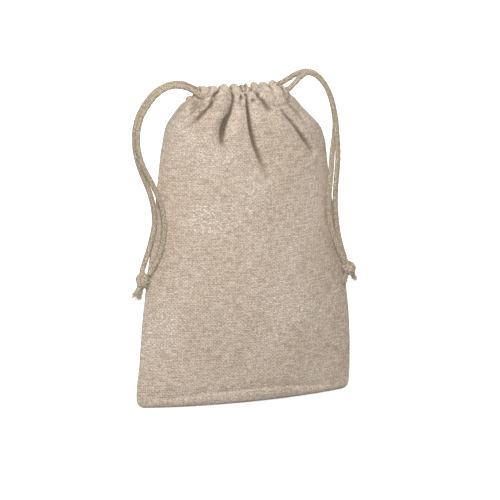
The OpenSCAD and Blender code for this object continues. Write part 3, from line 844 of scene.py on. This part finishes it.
def hollows(h, fold_v):
    """0 to 1: how deep each place lies under the cloth round it, which sets how much shade is painted there.
    """
    hollow = (np.clip((average(h, 5, 9) - h) / 2.8, 0, 1)
              + np.clip((average(h, 12, 22) - h) / 5.0, 0, 1)) * 0.62
    # painted shade made stronger between the gathers along the top
    hollow *= 1 + 1.1 * smoothstep(275, 281, fold_v)
    return np.clip(average(hollow, 1, 2), 0, 1)


def cloth_grid(outward, valleys, ridges, top, pits, seed):
    """One side of the sack, rows up the panel and round the casing: places, flat place, height, hollows.

    O is the distance outward, so front and back are built alike. fold_v is the height along the cloth
    that the tables of folds use: the panel's height, then on by mm round the casing.
    """
    X, O, Z, U, at = panel_surface()
    LX, LO, LZ, loop_at = casing_surface(X[-1], O[-1], outward)
    LV = np.broadcast_to(loop_at[:, None], LX.shape)
    V = np.vstack([np.broadcast_to(at[:, None], X.shape), at[-1] + LV])
    U = np.vstack([U, np.broadcast_to(U[-1], LX.shape)])
    fold_v = np.vstack([Z, PANEL_H + LV])
    X, O, Z = np.vstack([X, LX]), np.vstack([O, LO]), np.vstack([Z, LZ])
    # the top edge goes up and down with the gathers
    tops = catmull(top, 8)
    rise = np.interp(X, tops[:, 0], tops[:, 1])
    Z = Z + rise * smoothstep(268, 280, fold_v) * (1 - 0.75 * smoothstep(286, 300, fold_v))
    # folds stand off the surface along its normal
    h = relief_height(X, Z, fold_v, outward, valleys, ridges, pits, seed)
    nrm = normals(X, O, Z)
    X, O, Z = X + nrm[..., 0] * h, O + nrm[..., 1] * h, Z + nrm[..., 2] * h
    # below the neck the two cloths don't pass through each other
    O = np.where(fold_v < SEAM_OPEN[0], np.maximum(O, FOOT_GAP + CLOTH_T * 0.75), O)
    return np.stack([X, O * outward, np.maximum(Z, 0.0)], -1), U, V, fold_v, hollows(h, fold_v)


def cloth_sheet(name, outward, valleys, ridges, top, pits, seed):
    P, U, V, fold_v, hollow = cloth_grid(outward, valleys, ridges, top, pits, seed)
    faces = grid_faces(*U.shape)
    if outward > 0:
        faces = faces[:, ::-1]
    coords = np.stack([U.ravel() + seed * 37, V.ravel() + seed * 37, hollow.ravel()], 1)
    ob = mesh_object(name, P.reshape(-1, 3), faces.tolist(), CLOTH, coords)
    mod = ob.modifiers.new("thickness", "SOLIDIFY")
    mod.thickness = CLOTH_T * MM
    mod.offset = -1
    mod.use_rim = True
    apply_modifiers(ob)
    for vert in ob.data.vertices:
        vert.co.z = max(vert.co.z, 0.0)
    return ob, P, fold_v, hollow


FRONT_CLOTH = cloth_sheet("front_cloth", -1, FRONT_VALLEYS, FRONT_RIDGES, FRONT_TOP, FRONT_PITS, 1)
BACK_CLOTH = cloth_sheet("back_cloth", 1, BACK_VALLEYS, BACK_RIDGES, BACK_TOP, BACK_PITS, 2)
for ob, side in ((FRONT_CLOTH[0], "front"), (BACK_CLOTH[0], "back")):
    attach(ob, "sack")
    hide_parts(f"{side}_panel", f"{side}_casing")


# ---------------------------------------------------------------- sewing
STITCH_PITCH, STITCH_LENGTH = 3.6, 2.7
STITCH_POINTS = 7


def stitches(name, P, fold_v, hollow, outward):
    """The casing's row of stitches, left out where a fold hides it."""
    k = row_at(fold_v, STITCH_V)
    line, up, deep = P[k], P[k + 2] - P[k - 2], hollow[k]
    s = along(line)
    parts = []
    n = int((s[-1] - 16) / STITCH_PITCH)
    for k in range(n):
        start = (s[-1] - n * STITCH_PITCH) / 2 + k * STITCH_PITCH + 0.5
        at = np.linspace(start, start + STITCH_LENGTH, STITCH_POINTS)
        if np.interp(at, s, deep).max() > 0.12:
            continue
        pts = np.stack([np.interp(at, s, line[:, i]) for i in range(3)], 1)
        u = np.stack([np.interp(at, s, up[:, i]) for i in range(3)], 1)
        out = np.cross(u, np.gradient(pts, axis=0))
        out /= np.linalg.norm(out, axis=1)[:, None]
        out *= np.sign(out[:, 1:2] * outward + 1e-9)
        pts = pts + out * (0.34 * np.sin(np.linspace(0, math.pi, STITCH_POINTS)) - 0.16)[:, None]
        parts.append(tube(f"{name}_{k}", pts, 0.28, 8, THREAD))
    return join(parts, name)


for side, cloth, outward in (("front", FRONT_CLOTH, -1), ("back", BACK_CLOTH, 1)):
    ob = stitches(f"{side}_casing_thread", *cloth[1:], outward)
    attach(ob, "sack")
    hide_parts(f"{side}_casing_stitches")

# Section of a seam allowance, and the three places that its overlock thread goes to: inward and across
ALLOWANCE = [(0.4, -0.3), (3.0, -0.75), (7.2, -0.7), (7.6, 0), (7.2, 0.7), (3.0, 0.75), (0.4, 0.3)]
OVERLOCK = [(0.0, 7.9, 0.0), (0.33, 6.4, 0.95), (0.66, 6.4, -0.95)]
SEAM_STEP = 2.0


def allowance(name, line, inward, seed):
    """A seam allowance inside the sack: two layers of cloth, 8 mm wide, with overlocked edge."""
    n, m = len(line), len(ALLOWANCE)
    rng = np.random.default_rng(seed)
    wave = 0.25 * np.sin(np.arange(n) / 5.0 + rng.uniform(0, 6)) + 0.12 * rng.standard_normal(n)

    def place(base, k, a, b):
        return base + inward * a + np.array([0, b + wave[k] * (a / 8), 0])

    verts = [place(line[k], k, a, b) for k in range(n) for a, b in ALLOWANCE]
    flat = [(a, k * SEAM_STEP) for k in range(n) for a, _ in ALLOWANCE]
    faces = grid_faces(n, m, wrap=True).tolist()
    faces.append(list(range(m))[::-1])
    faces.append([(n - 1) * m + i for i in range(m)])
    body = mesh_object(name, verts, faces, CLOTH, flat)
    zig = [place(line[k] * (1 - f) + line[k + 1] * f, k, a, b) for k in range(n - 1) for f, a, b in OVERLOCK]
    thread = tube(name + "_overlock", catmull(zig, 3), 0.17, 6, THREAD)
    return join([body, thread], name)


def side_line(sign):
    """A side seam's line from the foot up to the end of its stitching."""
    table = catmull(SHAPE, 12)
    z = np.clip(table[:, 0], 0, 1) * PANEL_H
    ok = (z > 9) & (z < 250)
    zz = np.arange(10, 243, SEAM_STEP)
    x = half_width(zz, np.interp(zz, z[ok], table[ok, 1] * HALF_W), sign < 0) - 1.8
    return np.stack([sign * x, np.zeros(len(zz)), zz], 1)


for side, sign in (("left", -1), ("right", 1)):
    ob = allowance(f"{side}_seam_allowance", side_line(sign), np.array([-sign, 0, 0.0]), 3 + sign)
    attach(ob, "sack")
    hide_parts(f"{side}_side_seam")
foot_low, foot_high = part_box("bottom_seam")
foot_x = np.arange(foot_low.x / MM, foot_high.x / MM, SEAM_STEP)
foot = np.stack([foot_x, np.zeros(len(foot_x)), np.full(len(foot_x), foot_low.z / MM)], 1)
ob = allowance("bottom_seam_allowance", foot, np.array([0, 0, 1.0]), 9)
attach(ob, "sack")
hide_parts("bottom_seam")

# ---------------------------------------------------------------- the cords inside the casings
RUN_START = 34.0  # mm from the middle where the run meets its strands
TURN_R = 10.4
PRESSED_IN = 2.5  # the cloth presses the turn in a little


def run_line(sign):
    """The U that the cord makes inside both casings and round the far side of the neck."""
    lo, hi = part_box("left_cord_run" if sign < 0 else "right_cord_run")
    far = max(abs(lo.x), abs(hi.x)) / MM - CORD_R - PRESSED_IN
    lane = (hi.y - lo.y) / 2 / MM - CORD_R
    pts = [(x, -lane) for x in np.linspace(RUN_START, -far + TURN_R, 36)]
    for a in np.linspace(0, math.pi / 2, 14)[1:]:
        pts.append((-far + TURN_R - TURN_R * math.sin(a), -lane * math.cos(a)))
    pts += [(x, -y) for x, y in pts[::-1]]
    line = np.array([[sign * x, y, EXIT_Z - (EXIT_X - x) * CASING_FALL] for x, y in pts])
    keep = [0]
    for k in range(1, len(line)):
        if np.linalg.norm(line[k] - line[keep[-1]]) > 0.2:
            keep.append(k)
    return resample(line[keep], int(along(line[keep])[-1] / RUN_STEP))


def squeezed(line):
    """The gathered casing presses the cord flat and inward between its ends: the line and its radius."""
    inside = (1 - smoothstep(28, 33, np.abs(line[:, 0]))) * (np.abs(line[:, 1]) > 5)
    lane = np.abs(line[:, 1]).max()
    line = line.copy()
    line[:, 1] += np.sign(line[:, 1]) * inside * ((14.6 if lane > 13 else 11.2) - lane)
    return line, CORD_R - 0.14 - 0.75 * inside


for side, sign in (("left", -1), ("right", 1)):
    line, radius = squeezed(run_line(sign))
    ob = tube(f"{side}_cord_in_casing", line, radius, 26, CORD, relief=braid)
    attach(ob, f"{side}_cord")
    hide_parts(f"{side}_cord_run")


# ---------------------------------------------------------------- floor and light
def floor():
    m = Nodes("floor_paint")
    grain = m.noise(m.new("ShaderNodeTexCoord").outputs["Object"], 3.0, 2.0)
    m.put(m.bsdf.inputs["Base Color"], m.mix(grain, (0.93, 0.93, 0.93), (0.95, 0.95, 0.95)))
    m.bsdf.inputs["Roughness"].default_value = 0.9
    m.bsdf.inputs["Specular IOR Level"].default_value = 0.1
    m.bsdf.inputs["Emission Color"].default_value = (1, 1, 1, 1)
    m.bsdf.inputs["Emission Strength"].default_value = 0.5
    bpy.ops.mesh.primitive_circle_add(vertices=96, radius=9, fill_type="NGON", location=(0, 0, -0.0004))
    ob = bpy.context.active_object
    ob.name = "floor"
    ob.data.materials.append(m.mat)
    ob.visible_diffuse = False


def studio():
    """Light from all round, brighter overhead than below as in a room with a lit ceiling, seen as white."""
    world = bpy.data.worlds.new("studio")
    world.use_nodes = True
    tree = world.node_tree
    place = tree.nodes.new("ShaderNodeTexCoord")
    split = tree.nodes.new("ShaderNodeSeparateXYZ")
    tree.links.new(place.outputs["Generated"], split.inputs[0])
    level = tree.nodes.new("ShaderNodeMapRange")
    tree.links.new(split.outputs[2], level.inputs["Value"])
    for socket, value in (("From Min", -0.6), ("From Max", 0.9), ("To Min", 0.06), ("To Max", 0.44)):
        level.inputs[socket].default_value = value
    seen = tree.nodes.new("ShaderNodeLightPath")
    most = tree.nodes.new("ShaderNodeMath")
    most.operation = "MAXIMUM"
    tree.links.new(level.outputs[0], most.inputs[0])
    tree.links.new(seen.outputs["Is Camera Ray"], most.inputs[1])
    tree.nodes["Background"].inputs["Color"].default_value = (1, 1, 1, 1)
    tree.links.new(most.outputs[0], tree.nodes["Background"].inputs["Strength"])
    scene.world = world


def area_light(name, place, aim_z, size, power):
    """A square light at a place, aimed at a height over the origin. In metres and watts."""
    data = bpy.data.lights.new(name, "AREA")
    data.shape = "RECTANGLE"
    data.size = data.size_y = size
    data.energy = power
    ob = bpy.data.objects.new(name, data)
    scene.collection.objects.link(ob)
    ob.location = place
    ob.rotation_mode = "QUATERNION"
    ob.rotation_quaternion = (Vector((0, 0, aim_z)) - Vector(place)).to_track_quat("-Z", "Y")


floor()
studio()
area_light("key", (-0.68, -2.05, 1.2), 0.14, 0.5, 46.5)
area_light("top", (0.0, 0.2, 1.9), 0.1, 1.2, 4)
area_light("back_fill", (0.9, 2.0, 1.3), 0.15, 1.2, 34)
area_light("side_fill", (2.2, 0.3, 0.9), 0.15, 1.0, 1)

scene.view_settings.view_transform = "Standard"
scene.view_settings.look = "None"
